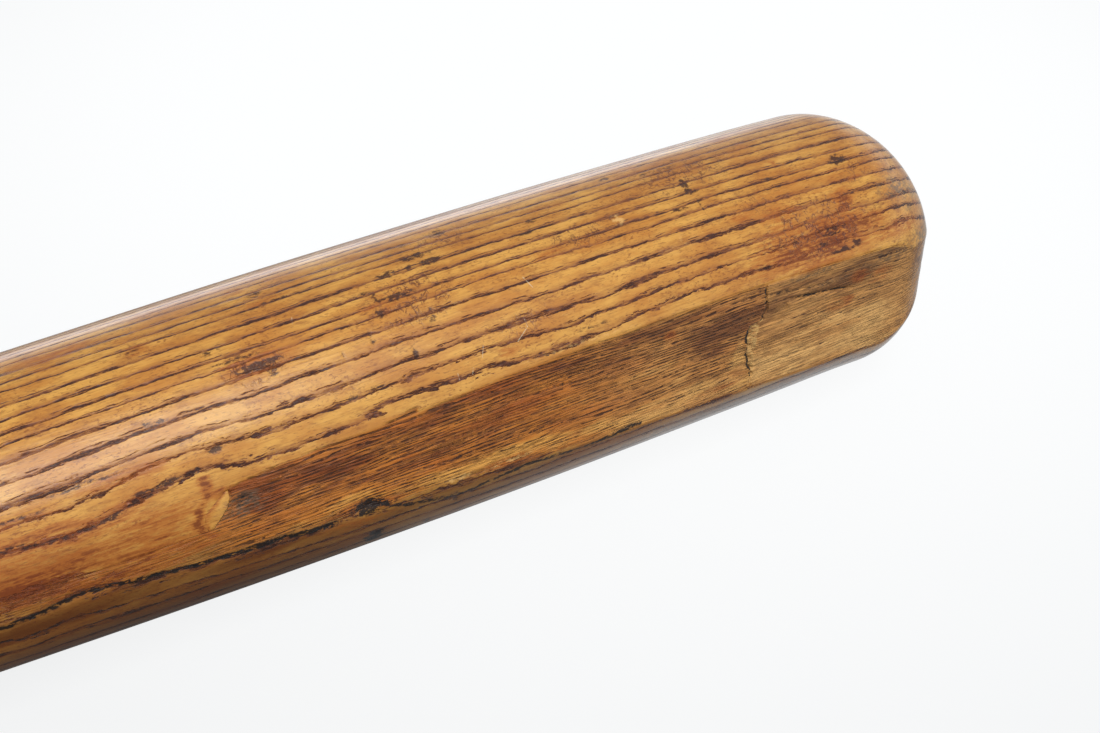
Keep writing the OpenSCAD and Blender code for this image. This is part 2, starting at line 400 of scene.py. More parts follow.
rust_marks = [
    ((48, 36), 16, 4, 1.1), ((42, 42), 10, 3, 1.0), ((39, 7), 1.6, 1.4, 1.2),
    ((36, 17.5), 2.6, 1.6, 1.0), ((60, 40), 8, 3, 0.4), ((54, 54), 7, 2.2, 0.6),
    ((37, 51), 2.2, 3, 0.9), ((37, 55), 3, 1, 0.7), ((63, 57), 5, 2, 0.4), ((30, 60), 7, 3, 0.3),
    ((25, 33), 10, 2.5, 0.6), ((77, 102), 1, 3, 0.5), ((52, 104), 4, 2, 0.7), ((50, 94), 1, 2, 0.5),
    ((75, 98), 12, 3, 0.3), ((47.5, 77.5), 1.2, 0.8, 0.7), ((176, 62), 9, 3, 0.6),
    ((195, 84), 3, 2, 0.5), ((170, 88), 5, 1.5, 0.4), ((172, 100), 4, 3, 0.4), ((148, 69), 5, 4, 0.4),
    ((110, 68), 7, 2, 0.4), ((100, 66), 5, 2, 0.35), ((126, 36.5), 2.5, 1.6, 0.6),
    ((205, 38), 11, 1.6, 0.6), ((222, 28), 9, 1.4, 0.8), ((221, 6), 14, 3.0, 0.6),
    ((203, 20), 10, 3, 0.6), ((226, 35), 10, 2, 0.5), ((56, 45), 9, 4, 0.5), ((36, 51), 2, 2, 1.1),
    ((40, 65), 30, 14, 0.25), ((205, 8), 12, 3, 0.7), ((186, 21), 7, 1.4, 0.7),
    ((190, 22.5), 1.8, 0.5, 1.1), ((158, -7), 5, 1.5, 0.6),
    ((215, 15), 20, 2.4, 0.7), ((203, 9), 9, 1.8, 0.6), ((228, 11), 18, 4.2, 1.0),
    ((210, 3), 16, 2.6, 0.8), ((230, 20), 12, 2.0, 0.7), ((36, 40), 8, 3, 1.1),
    ((163, -13), 9, 2, 0.4), ((88, 21), 1.6, 1.1, 0.9), ((42, 7), 4, 3, 0.5),
    ((130, 12), 14, 3, 0.6), ((112, 4), 12, 2, 0.3), ((80, 62), 3, 1, 0.4), ((60, 62), 8, 1.6, 0.3),
    ((199, 8), 4, 0.5, 1.1), ((203, 12.5), 4, 0.5, 1.0), ((197.5, 4), 4, 0.5, 1.0),
    ((207, 5), 5, 0.5, 0.9), ((200, 17), 3, 0.45, 0.8), ((210, 10), 5, 0.5, 0.8), ((196, 12), 2.5, 2.0, 0.7),
    ((210, 98), 12, 3, 0.5), ((196, 92), 8, 2, 0.3), ((30, 15), 4, 3, 0.5), ((76, -14), 8, 1, 0.5),
]
# Pale scuffs; those on the crest below the flat, at (141, -8) and (129, -9), are painted highlight
scuffs_and_highlights = [
    ((90.5, 73), 1.5, 1.6, 0.9), ((141, -8), 3.2, 0.8, 1.0), ((129, -9), 8, 0.7, 0.6),
    ((46, 2), 3, 0.4, 0.7), ((112, 31), 26, 0.8, 0.4), ((168.5, -7.2), 2.5, 0.5, 0.8),
    ((133, 60), 0.6, 0.5, 0.6),
    ((80, 55), 9, 4, 0.3), ((53, 3), 2, 0.4, 0.6), ((61, 17), 0.6, 1.0, 0.6),
]
scratches = (
    ((120.5, 46), (120.5, 43)), ((120.5, 43), (123.5, 39)), ((131, 41.5), (132, 37.5)),
    ((134.5, 35), (135, 33)), ((138, 35), (138, 32.5)), ((165, 75.5), (165.5, 72.5)),
    ((117, 61.5), (116, 56.5)),
)
# Light and dark places of the worn faces, each from -1, nearly black, to 1, golden. The golden ones along
# the low edge of the flat and the flake are worn wood with painted highlight, and the one beside the break
# at (69.6, -1) is a painted reflection. The dark ones at the chip's scarp (182, 14) and along the flake's
# split (44, 17) are painted shadow
tones_and_painted_light = (
    ((77, 15), 10, 5, -0.9), ((88, 25), 10, 1.5, -0.5), ((134, 24), 14, 1.7, -0.5),
    ((112, 25), 14, 1.3, -0.4), ((142, 4), 11, 2.2, -0.6), ((165, 18), 14, 2.5, -0.5),
    ((182, 14), 5, 4, -0.9), ((100, -10), 32, 1.8, 0.8), ((80, -12), 14, 3, 1.4),
    ((70, -2), 5, 6, 0.5), ((125, -6), 14, 1.8, 1.0), ((141, -8), 6, 1.4, 1.2),
    ((150, -3), 16, 2.0, 0.5), ((172, 1), 13, 3.0, 0.7), ((98, 5), 14, 5, 0.5),
    ((121, 12), 12, 5, 0.2), ((44, 17), 9, 1.2, -0.5), ((26, 23), 12, 2.4, -0.4),
    ((50, -10), 18, 6, 1.0), ((33, -14), 12, 6, 1.0), ((58, 9), 8, 4, 0.5), ((34, 2), 14, 5, 0.1),
    ((79, 7), 6, 2.4, -0.8),
    ((95, -16), 40, 2.5, 0.7), ((69.6, -1), 1.2, 5, 1.0), ((36, 17.5), 4, 2, -0.5),
)
# Where the old varnish has cracked into dark hairlines
crazed_marks = [
    ((141, 67), 12, 8, 0.9), ((70, 86), 22, 10, 0.7), ((45, 44), 18, 8, 1.0), ((176, 60), 9, 4, 0.9),
    ((120, 45), 12, 5, 0.6), ((57, 62), 14, 6, 0.6), ((100, 72), 14, 6, 0.7), ((196, 84), 12, 5, 0.5),
    ((128, 92), 14, 6, 0.7), ((160, 42), 8, 4, 0.5), ((30, 62), 8, 6, 0.6),
]
# Darker brown over the underside, and over the low zone towards the knob
underside_darkening = (
    ((160, -15), 50, 3, 0.8), ((130, -20), 60, 4, 0.7), ((228, -9), 42, 5, 1.1), ((238, 5), 24, 4.0, 0.9),
    ((232, 12), 24, 5, 0.62), ((135, -24), 60, 5, 0.8), ((70, -29), 32, 4, 0.6), ((186, -11), 26, 3.0, 0.95),
    ((205, -30), 90, 16, 1.0), ((222, 3), 16, 3.0, 0.8), ((208, -4), 14, 2.0, 0.6),
)
# Grey weathering. The long band along the top rim (100, 115) and the one along the low rim near the tip (60,
# -38) are painted reflection, and the one beside the chip (186, 14) is painted shadow
greys_and_painted_light = (
    ((13, 25), 8, 3.4, 0.7), ((27, 22.5), 12, 3.2, 0.5), ((50, 26.5), 9, 1.2, 0.6),
    ((100, 115), 120, 7, 0.35), ((60, -38), 60, 8, 0.9), ((20, 50), 8, 4, 0.62), ((9, 15), 5, 16, 0.7),
    ((186, 14), 4, 3.2, 0.8), ((14, 48), 4, 3, 0.6), ((18, 40), 3, 2, 0.5), ((20, 58), 5, 2, 0.4),
    ((44, 20), 9, 1.0, 0.45),
)
open_grain_end = 240
wavy_line = ((192, 32.5), (198, 31.5), (203, 29.5), (208, 26.5), (213, 24.8), (218, 24.3),
             (225, 25.6), (233, 27.4), (250, 28))
# Knocks, stains and dirt on the back and the underside, scattered by chance
chance = np.random.default_rng(11)
for marks, count, longest, widest in ((dark_marks, 36, 5, 1.2), (rust_marks, 26, 16, 4),
                                      (crazed_marks, 12, 16, 8), (scuffs_and_highlights, 8, 4, 1.2)):
    for _ in range(count):
        where = (chance.uniform(22, 232), (chance.uniform(118, 312) + 180) % 360 - 180)
        shares = chance.uniform(0.25, 1.0, 3)
        marks.append((where, shares[0] * longest, shares[1] * widest, shares[2]))
# How far the grain's own bends lift the rings, above the flat and below it
bend_above = ((20, 1.0), (47, 0.7), (60, 0.36), (85, 0.3), (100, 0), (125, 0), (147, 0.35),
              (165, 0.35), (179, 0.55), (193, 1.15), (201, 1.1), (217, 0.85), (232, 1.45), (280, 0))
bend_below = ((125, 0), (171, 0.24), (200, 0.42), (212, 0.5), (220, 0.62), (230, 1.2), (280, 0))
# How far the rings rise with each millimetre that the rounded end falls, by angle
end_angles = (-180, -100, -40, 0, 40, 60, 80, 100, 120, 150, 180)
end_lifts = (-0.9, -0.3, 0.6, 0.9, 0.88, 0.92, 1.1, 1.2, 0.6, -0.4, -0.9)
# Where dirt has packed in beside the crevice: the pit, its end, and a low spot below it
packed = ((pit, 3.3, 2.3, 1.5), ((159.5, -29), 2.2, 2.8, 1.6), ((157.5, -7.5), 2.4, 0.9, 0.9))


def strongest(s, angle, marks):
    """The strongest of some blots at each point."""
    most = np.zeros_like(s)
    for place, length, width, strength in marks:
        most = np.maximum(most, strength * near(s, angle, place, length, width))
    return most


def record_wear(piece, s, angle, torn):
    """Writes where the wood is worn, torn, stained, rusty, dirty, scuffed and bent, and where light and
    shade are painted on it.
    """
    across = angle * degree_l
    round_face = turned_radius(s)
    beyond = s < break_at(angle)
    plane = np.where(beyond, flake_reach(s, angle), flat_reach(s, angle))
    worn = smooth(round_face - plane, 0.0, 0.22)
    # Past the flat, the open grain runs on as a tongue between the crevice and a ragged top edge
    top = np.interp(s, (150, 157, 175, 186, 190, 240), (28, 25.5, 24.5, 23.5, 21, 14))
    top = top + 0.8 * grain(s / 6, across * 0, 8)
    low = np.interp(s, [place[0] for place in crevice], [place[1] for place in crevice])
    tongue = smooth(top - angle, -0.5, 0.6) * smooth(angle - low, 0.5, 3) * (s > 148)
    past = s - np.where(angle < chip_angles[0], open_grain_end, chip_edge(angle))
    worn = np.maximum(worn, tongue) * (1 - smooth(past, -0.5, 0.1)) * (1 - 0.6 * smooth(s, 184, 204))
    record_on(piece, "worn", worn)
    dry = np.maximum(beyond, 0.6 * (1 - smooth(s, 88, 122)))
    record_on(piece, "torn", np.maximum(torn, worn * dry))
    ragged = 0.6 + 0.5 * grain(s / 3, across / 0.7, 12)
    wavy = along(s, angle, wavy_line, 0.75) * ragged
    record_on(piece, "stain", np.maximum(1.35 * strongest(s, angle, dark_marks), wavy))
    wide = 0.9 * along(s, angle, wavy_line, 1.9) * smooth(s, 198, 206)
    beside = np.where(s < 200, along(angle, s, chip_arc, 1.2 * degree_l), 0)
    wide = np.maximum(wide, (1.0 + 0.5 * grain(s / 1.2, across / 2.2, 13)) * beside)
    record_on(piece, "rust", np.maximum(strongest(s, angle, rust_marks), wide))
    record_on(piece, "underside_dark", strongest(s, angle, underside_darkening) * (1 - worn))
    for name, marks in (("crazed", crazed_marks), ("grey_and_painted_light", greys_and_painted_light), ("pale_and_highlight", scuffs_and_highlights)):
        record_on(piece, name, strongest(s, angle, marks))
    # The worn faces' tone, with painted highlight and painted shadow among it
    tone_and_light = np.zeros_like(s)
    for place, length, width, strength in tones_and_painted_light:
        tone_and_light = tone_and_light + strength * near(s, angle, place, length, width)
    record_on(piece, "tone_and_light", np.clip(tone_and_light, -1, 1))
    # Dirt in the crevice, in the line under the crest and round the pit, and painted shadow in the low place
    # beside the chip and in the crack along the break
    dirt_and_shadow = along(s, angle, crevice, 0.75) * (1.1 + 0.4 * grain(s / 5, across / 1.0, 11))
    uneven = 1.0 + 0.4 * grain(s / 4, across / 2, 14)
    dirt_and_shadow = np.maximum(dirt_and_shadow, uneven * along(s, angle, under_line, 0.55))
    dirt_and_shadow = np.maximum(dirt_and_shadow, strongest(s, angle, packed))
    # Painted shadow beside the chip's crisp edge
    dirt_and_shadow = np.maximum(dirt_and_shadow, 0.6 * near(s, angle, scarp, 2.4, 2.0) * (s < chip_edge(angle)))
    # Painted shadow in the crack along the break
    strength = np.interp(angle, (-19, -16, -10, 11, 13, 27, 29), (0, 0.5, 1.0, 1.0, 0.7, 0.7, 0))
    crack = 0.34 + 0.2 * smooth(angle, -8, 0) * (1 - smooth(angle, 9, 13))
    dirt_and_shadow = np.maximum(dirt_and_shadow, strength * np.exp(-(((s - break_at(angle)) / crack) ** 2)))
    record_on(piece, "dirt_and_shadow", dirt_and_shadow)
    above = np.interp(s, *zip(*bend_above)) * smooth(angle, 4, 16) * (1 - smooth(angle, 36, 70))
    below = np.interp(s, *zip(*bend_below)) * (1 - smooth(angle, 0, 12)) * smooth(angle, -60, -20)
    # Over the rounded end the lines run on straight, almost to the tip
    fall = (turned_radius(dome_l) - turned_radius(s)) * (s < dome_l) * smooth(s, 0, 4)
    rounded = fall * np.interp(angle, end_angles, end_lifts)
    record_on(piece, "shift", above + below + rounded)


s, angle, radius = places_of(bat)
record_wear(bat, s, angle, np.zeros_like(s))


class Nodes:
    """Shader nodes under construction: each call adds one and returns its output."""

    def __init__(self, tree):
        self.tree = tree

    def put(self, kind, inputs, output=0, **settings):
        node = self.tree.nodes.new(kind)
        for name, value in settings.items():
            setattr(node, name, value)
        for socket, value in inputs.items():
            self.give(node.inputs[socket], value)
        return node.outputs[output]

    def give(self, socket, value):
        if isinstance(value, bpy.types.NodeSocket):
            self.tree.links.new(value, socket)
        else:
            socket.default_value = value

    def math(self, operation, a, b=0.0):
        return self.put("ShaderNodeMath", {0: a, 1: b}, operation=operation)

    def times(self, first, *others):
        """All the parts multiplied together."""
        for other in others:
            first = self.math("MULTIPLY", first, other)
        return first

    def plus(self, a, b):
        return self.math("ADD", a, b)

    def added(self, base, *parts):
        """The base, with each part added as strongly as its own amount says."""
        for part, amount in parts:
            base = self.plus(base, self.times(part, amount))
        return base

    def less(self, a, b):
        return self.math("SUBTRACT", a, b)

    def top_of(self, a, b):
        return self.math("MAXIMUM", a, b)

    def step(self, value, low, high, least=0.0, most=1.0):
        return self.put("ShaderNodeMapRange", {0: value, 1: low, 2: high, 3: least, 4: most},
                        interpolation_type="SMOOTHSTEP")

    def noise(self, place, size, detail=2.0, roughness=0.5):
        """Noise from 0 to 1, in blots of a length along the grain and a width across it."""
        length, width = size
        scaled = self.put("ShaderNodeMapping",
                          {"Vector": place, "Scale": (1 / length, 1 / width, 1 / width)})
        return self.put("ShaderNodeTexNoise",
                        {"Vector": scaled, "Scale": 1.0, "Detail": detail, "Roughness": roughness})

    def hairs(self, place, size, thin, detail=2.0):
        """Hairlines that wander with the noise: 1 on a line, and 0 away from it."""
        level = self.less(self.noise(place, size, detail, 0.6), 0.5)
        return self.step(self.math("ABSOLUTE", level), 0.0, thin, 1.0, 0.0)

    def vector(self, operation, a, b, output=0):
        inputs = {0: a, "Scale": b} if operation == "SCALE" else {0: a, 1: b}
        return self.put("ShaderNodeVectorMath", inputs, output, operation=operation)

    def split(self, place):
        """The place's own measures along x, y and z."""
        node = self.tree.nodes.new("ShaderNodeSeparateXYZ")
        self.give(node.inputs[0], place)
        return node.outputs

    def mix(self, factor, a, b):
        return self.put("ShaderNodeMix", {0: factor, 6: a, 7: b}, 2, data_type="RGBA")

    def layered(self, face, *layers):
        """Colours laid over a face in turn, each as strongly as its own amount says."""
        for amount, paint in layers:
            face = self.mix(amount, face, paint)
        return face

    def seen(self, name):
        return self.put("ShaderNodeAttribute", {}, 2, attribute_name=name)

    def bump(self, height, depth):
        return self.put("ShaderNodeBump", {"Height": height, "Distance": depth})


class Finish(Nodes):
    """A material under construction, with the shader that its nodes lead to."""

    def __init__(self, name):
        self.material = bpy.data.materials.new(name)
        self.material.use_nodes = True
        super().__init__(self.material.node_tree)
        self.shader = self.tree.nodes["Principled BSDF"]


def colour(red, green, blue):
    """A colour as a paint chart gives it, 0 to 255, in the renderer's linear values."""
    parts = [v / 255 for v in (red, green, blue)]
    return tuple(v / 12.92 if v < 0.04045 else ((v + 0.055) / 1.055) ** 2.4 for v in parts) + (1,)


# The growth rings face this angle, and bend round their tree's middle at this radius
ring_faces, ring_bend = 10, 110
# Where the dark early wood of each ring ends, in millimetres towards that angle
ring_ends = (1.84, 4.1, 7.4, 9.8, 11.9, 15.1, 17.6, 19.9, 21.5, 23.7, 25.9, 28.0, 29.2, 30.4)
ring_low, ring_high = -0.4, 33.0
# How the rings and the open fibres waver: each wave's length and width, and its height
ring_waves = (((55, 14), 1.2), ((9, 2.6), 0.5), ((3.6, 1.1), 0.5), ((1.1, 0.5), 0.26))
fibre_waves = (((40, 6), 4.0), ((8, 2), 0.8), ((2.2, 0.7), 0.22))
fibre_spacing = 0.76


def ring_part(finish, height):
    """How far each point still is from the outer end of its ring, as a share of the ring."""
    marks = (ring_low,) + ring_ends + (ring_high,)
    node = finish.tree.nodes.new("ShaderNodeFloatCurve")
    curve = node.mapping.curves[0]
    node.mapping.extend = "EXTRAPOLATED"
    span, count = ring_high - ring_low, len(marks) - 1
    for i, mark in enumerate(marks):
        if 0 < i < count:
            curve.points.new((mark - ring_low) / span, i / count)
    curve.points[0].location = (0, 0)
    curve.points[-1].location = (1, 1)
    for point in curve.points:
        point.handle_type = "VECTOR"
    node.mapping.update()
    share = finish.math("DIVIDE", finish.less(height, ring_low), span)
    finish.give(node.inputs["Value"], share)
    finish.give(node.inputs["Factor"], 1.0)
    return finish.less(1.0, finish.math("FRACT", finish.times(node.outputs[0], count)))


def wood_rings(finish, wood):
    """The early wood of the rings, each from 0 to 1: jagged lines of vessels, and their haze."""
    _, across, height = finish.split(wood)
    ring = finish.added(height, (finish.times(across, across), 0.5 / ring_bend))
    ring = finish.plus(ring, finish.seen("shift"))
    for size, amount in ring_waves:
        ring = finish.added(ring, (finish.less(finish.noise(wood, size), 0.5), amount))
    part = ring_part(finish, ring)
    width = finish.step(finish.noise(wood, (12, 3), 3.0, 0.6), 0.32, 0.68, 0.03, 0.2)
    edge = finish.step(part, 0.0, 0.05)
    core = finish.times(finish.step(finish.less(part, width), 0.0, 0.14, 1.0, 0.0), edge)
    halo = finish.times(finish.step(finish.less(part, width), 0.0, 0.42, 1.0, 0.0), edge)
    vessels = finish.step(finish.noise(wood, (2.4, 0.3), 4.0, 0.7), 0.38, 0.58, 0.15, 1.0)
    strength = finish.step(finish.noise(wood, (6, 2), 3.0), 0.34, 0.62, 0.35, 1.1)
    # The row's inner side is often a second, finer line
    apart = finish.math("ABSOLUTE", finish.less(finish.less(part, width), 0.2))
    second = finish.times(finish.step(apart, 0.0, 0.05, 1.0, 0.0), vessels)
    second = finish.times(second, finish.step(finish.noise(wood, (5, 1.2), 3.0), 0.46, 0.58, 0.0, 0.8))
    early = finish.times(finish.times(core, vessels), strength)
    return finish.top_of(early, second), halo


def open_fibres(finish, wood):
    """Long dark vessels, cut open side by side: nearly parallel lines with gaps along them."""
    run, across, _ = finish.split(wood)
    for size, amount in fibre_waves:
        across = finish.added(across, (finish.noise(wood, size), amount))
    place = finish.times(across, 1 / fibre_spacing)
    number = finish.math("FLOOR", place)
    off = finish.math("ABSOLUTE", finish.less(finish.math("FRACT", place), 0.5))
    start = finish.added(finish.times(run, 0.25), (number, 7.31))
    own = finish.put("ShaderNodeCombineXYZ", {0: start, 1: finish.times(number, 3.7)})
    present = finish.step(finish.noise(own, (1, 1), 3.0, 0.6), 0.38, 0.5)
    half = finish.step(finish.noise(own, (0.5, 1)), 0.3, 0.7, 0.04, 0.2)
    return finish.times(finish.step(finish.less(off, half), 0.0, 0.08, 1.0, 0.0), present)


def scratch(finish, rolled, start, end):
    """A fine straight scratch between two places, each (s, angle)."""
    first = (bat_l - start[0], start[1] * degree_l, 0)
    run = (start[0] - end[0], (end[1] - start[1]) * degree_l, 0)
    away = finish.vector("SUBTRACT", rolled, first)
    share = finish.times(finish.vector("DOT_PRODUCT", away, run, 1), 1 / sum(v * v for v in run))
    share = finish.math("MINIMUM", finish.top_of(share, 0.0), 1.0)
    off = finish.vector("SUBTRACT", away, finish.vector("SCALE", run, share))
    return finish.step(finish.vector("LENGTH", off, off, 1), 0.05, 0.14, 1.0, 0.0)


def ash_finish(name, dull):
    """Ash: dark rings in amber wood, streaky brown where it is worn, and grey-tan where torn."""
    finish = Finish(name)
    place = finish.put("ShaderNodeTexCoord", {}, "Object")
    wood = finish.put("ShaderNodeMapping",
                      {"Vector": place, "Scale": (1 / MM,) * 3,
                       "Rotation": (radians(ring_faces - 90), 0, 0)})
    early, halo = wood_rings(finish, wood)

    # Late wood: amber, mottled by age, and streaked by fibres and small pores
    fibres = finish.noise(wood, (11, 0.4), 3.0, 0.6)
    pores = finish.noise(wood, (1.5, 0.28), 2.0)
    mottle = finish.noise(wood, (16, 6), 4.0, 0.6)
    haze = finish.noise(wood, (4.5, 1.8), 5.0, 0.7)
    stained = finish.top_of(finish.seen("rust"), 0.0)
    pores = finish.added(pores, (stained, 0.1))
    grime = finish.times(finish.step(finish.noise(wood, (0.9, 0.5), 3.0, 0.6), 0.53, 0.68),
                         finish.step(finish.noise(wood, (13, 5)), 0.4, 0.62))
    face = finish.layered(
        colour(218, 162, 78),
        (finish.step(mottle, 0.35, 0.65), colour(192, 128, 54)),
        (finish.step(fibres, 0.45, 0.75, 0.0, 0.4), colour(156, 98, 42)),
        (finish.step(haze, 0.48, 0.75, 0.0, 0.6), colour(138, 80, 40)),
        (finish.step(haze, 0.44, 0.28, 0.0, 0.4), colour(228, 174, 92)),
        (finish.step(pores, 0.58, 0.72, 0.0, 0.5), colour(112, 64, 36)),
        (finish.times(grime, 0.65), colour(122, 62, 30)),
        (finish.times(halo, 0.6), colour(140, 78, 38)),
        (finish.step(early, 0.0, 0.5), colour(112, 60, 34)),
        (finish.step(early, 0.35, 0.9), colour(70, 36, 24)))

    # Worn face grain: golden to orange-brown, ruled with long, dark open fibres
    worn, torn, tone_and_light = finish.seen("worn"), finish.seen("torn"), finish.seen("tone_and_light")
    patches = finish.noise(wood, (14, 3.5), 3.0, 0.6)
    # Tone, with painted highlight on the low edges and painted shadow by the scarp and the split
    tone = finish.added(patches, (tone_and_light, 0.28))
    bare = finish.layered(
        colour(132, 68, 26),
        (finish.step(tone, 0.28, 0.56), colour(196, 120, 44)),
        (finish.step(tone, 0.6, 0.85), colour(230, 164, 76)),
        (finish.step(finish.noise(wood, (22, 5)), 0.48, 0.68, 0.0, 0.55), colour(188, 98, 32)))
    dry = finish.layered(
        colour(144, 96, 52),
        (finish.step(tone, 0.28, 0.56), colour(206, 148, 82)),
        (finish.step(tone, 0.58, 0.85), colour(234, 180, 108)),
        (finish.step(haze, 0.46, 0.72, 0.0, 0.55), colour(126, 82, 46)))
    fine = finish.times(finish.hairs(wood, (17, 0.8), 0.07), 0.55)
    lines = finish.top_of(open_fibres(finish, wood), fine)
    strands = finish.noise(wood, (9, 0.5), 3.0, 0.7)
    ruled = finish.less(finish.noise(wood, (9, 2.2), 3.0, 0.6), finish.times(tone_and_light, 0.12))
    lines = finish.times(lines, finish.step(ruled, 0.3, 0.5, 0.4, 1.0))
    deep = finish.times(finish.step(strands, 0.48, 0.6), finish.step(ruled, 0.48, 0.78, 0.0, 1.0))
    most_dark = finish.step(torn, 0.6, 1.0, 0.92, 0.5)
    bare = finish.layered(
        bare, (torn, dry),
        (finish.times(deep, finish.times(most_dark, 0.6)), colour(98, 52, 26)),
        (finish.times(lines, most_dark), colour(58, 30, 16)))
    # Darker brown over the underside, and varnish that has darkened where it is crazed
    dark_below = finish.seen("underside_dark")
    crazed = finish.added(finish.seen("crazed"), (haze, 0.8))
    face = finish.layered(
        face, (worn, bare),
        (finish.times(dark_below, 0.85), colour(90, 42, 13)),
        (finish.times(finish.step(early, 0.15, 0.6, 0.0, 0.8), dark_below), colour(40, 22, 16)),
        (finish.step(crazed, 0.85, 1.4, 0.0, 0.4), colour(160, 90, 38)))

    # Rust-red streaks, grey dirt with painted reflection and shadow, dark marks, dirt with painted shadow,
    # and pale scuffs with painted highlight, each with a ragged edge
    ragged = finish.noise(wood, (1.6, 0.9), 4.0, 0.7)
    streaky = finish.noise(wood, (7, 0.7), 4.0, 0.7)
    streaky = finish.added(finish.times(streaky, 0.65), (ragged, 0.35))
    for mark, edge, low, high, most, paint in (
            ("rust", streaky, 0.1, 0.6, 0.6, colour(168, 88, 28)),
            ("rust", streaky, 0.55, 1.1, 0.8, colour(112, 49, 18)),
            ("grey_and_painted_light", ragged, 0.15, 0.9, 0.75, colour(104, 86, 66)),
            ("stain", ragged, 0.25, 0.8, 0.9, colour(60, 32, 24)),
            ("dirt_and_shadow", ragged, 0.25, 0.8, 0.96, colour(28, 23, 22)),
            ("pale_and_highlight", ragged, 0.25, 0.8, 0.75, colour(228, 180, 110))):
        amount = finish.times(finish.seen(mark), finish.step(edge, 0.36, 0.64, 0.35, 1.6))
        face = finish.mix(finish.step(amount, low, high, 0.0, most), face, paint)
    cracks = finish.times(finish.hairs(wood, (1.6, 2.2), 0.06, 3.0), finish.step(crazed, 0.75, 1.15))
    cracks = finish.times(cracks, finish.step(finish.noise(wood, (2.2, 2.2)), 0.41, 0.51))
    face = finish.mix(finish.times(cracks, 0.8), face, colour(92, 46, 28))
    # The scratches lie on the barrel as if it were rolled out flat
    x, y, z = finish.split(place)
    turn = finish.math("ARCTAN2", z, finish.times(y, -1.0))
    rolled = finish.put("ShaderNodeCombineXYZ", {0: finish.times(x, 1 / MM),
                                                 1: finish.times(turn, barrel_r)})
    for start, end in scratches:
        line = finish.times(scratch(finish, rolled, start, end), finish.step(ragged, 0.35, 0.6))
        face = finish.mix(finish.times(line, 0.55), face, colour(222, 206, 176))
    finish.give(finish.shader.inputs["Base Color"], face)

    # Gloss: satin oil that is rubbed off the worn face, and open pores that hold dirt
    gloss = finish.added(dull, (worn, 0.15), (early, 0.1), (finish.less(mottle, 0.5), 0.2))
    finish.give(finish.shader.inputs["Roughness"], gloss)
    finish.shader.inputs["Specular IOR Level"].default_value = 0.4
    # A thin varnish, which shows only where it is seen from the side
    finish.shader.inputs["Coat Weight"].default_value = 0.7
    finish.shader.inputs["Coat Roughness"].default_value = 0.12
    finish.shader.inputs["Coat IOR"].default_value = 1.15
    groove = finish.step(torn, 0.0, 1.0, -1.6, -1.0)
    height = finish.added(
        finish.times(early, -0.9), (fibres, 0.25), (finish.times(strands, worn), -1.4),
        (finish.times(lines, worn), groove), (cracks, -0.3), (finish.seen("stain"), -0.4))
    finish.give(finish.shader.inputs["Normal"], finish.bump(height, 0.16 * MM))
    return finish.material


bat.data.materials.append(ash_finish("oiled_ash", 0.34))
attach(bat, "root")
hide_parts("ash_body")

# ---------------------------------------------------------------------------
# End flake: the layer of face grain that is left between the break and the
# tip. It has split along a growth ring, and it ends in a torn, sloping lip.
# ---------------------------------------------------------------------------
flake_back_off = 0.35
lip_h = 0.6
split = ((37.7, 12.9), (43.1, 15.2), (50.8, 17), (56.9, 18.7))
split_trail = ((47, 16.6), (51, 17.6), (57, 19.4), (61, 20.6))
fine_splits = (((22, 18), (36, 20.5)), ((26, 13.5), (33, 15)), ((45, 19.5), (60, 23)),
               ((40, 0.8), (54, 1.2)), ((34, -6), (43, -5.4)), ((30, 4), (48, 6)),
               ((22, 6.5), (34, 8)), ((44, -12), (62, -11)), ((56, 23), (62, 24)))
split_d, fine_split_d = 0.7, 0.16


def lip_width(angle):
    """How far the layer's torn lip slopes down, along the bat."""
    return np.interp(angle, (-16, -12, 3, 12.2, 12.8, 27), (0.4, 0.6, 2.8, 3.2, 0.5, 0.4))


def lip_part(s, angle):
    """0 on the layer's face, and rising to 1 across its torn lip."""
    start = break_at(angle) - flake_back_off - lip_width(angle)
    return np.clip((s - start) / lip_width(angle), 0, 1)


def split_depth(s, angle):
    return along(s, angle, split, 0.42) * smooth(60 - s, 0, 10) * smooth(s, 37, 40)


def flake_top(s, angle):
    """The layer's face, with its torn lip, ridges and the splits that run along it."""
    across = angle * degree_l
    torn = lip_part(s, angle) * (lip_h + 0.3 * grain(s / 0.8, across / 0.9, 21))
    ridges = 0.07 * grain(s / 12, across / 0.8, 22) + 0.09 * grain(s / 18, across / 2, 23)
    ridges = ridges * smooth(s, flake_tip, flake_tip + 8)
    fine = sum(along(s, angle, line, 0.25) for line in fine_splits)
    raised = 0.22 * along(s, angle, [(a, b - 2.4) for a, b in split], 0.8)
    top = worn_face(s, angle) - torn + ridges + raised
    return top - split_d * split_depth(s, angle) - fine_split_d * fine


def slab(name, x_segments, y_segments):
    """A flat slab from -1 to 1 both ways, with its upper face at 0 and its lower one at -1."""
    form = bmesh.new()
    bmesh.ops.create_grid(form, x_segments=x_segments, y_segments=y_segments, size=1)
    shell = bmesh.ops.extrude_face_region(form, geom=list(form.faces), use_keep_orig=True)
    lower = [v for v in shell["geom"] if isinstance(v, bmesh.types.BMVert)]
    bmesh.ops.translate(form, verts=lower, vec=(0, 0, -1))
    bmesh.ops.recalc_face_normals(form, faces=form.faces)
    for face in form.faces:
        face.smooth = abs(face.normal.z) > 0.9
    return piece_from(form, name)


def face_outwards(piece):
    """Turns a shaped slab's faces over, if its upper ones look inwards."""
    if np.dot(piece.data.polygons[0].normal, (0, -1, 0)) < 0:
        piece.data.flip_normals()


flake = slab("split_flake", 190, 150)
u, v, level = points_of(flake)
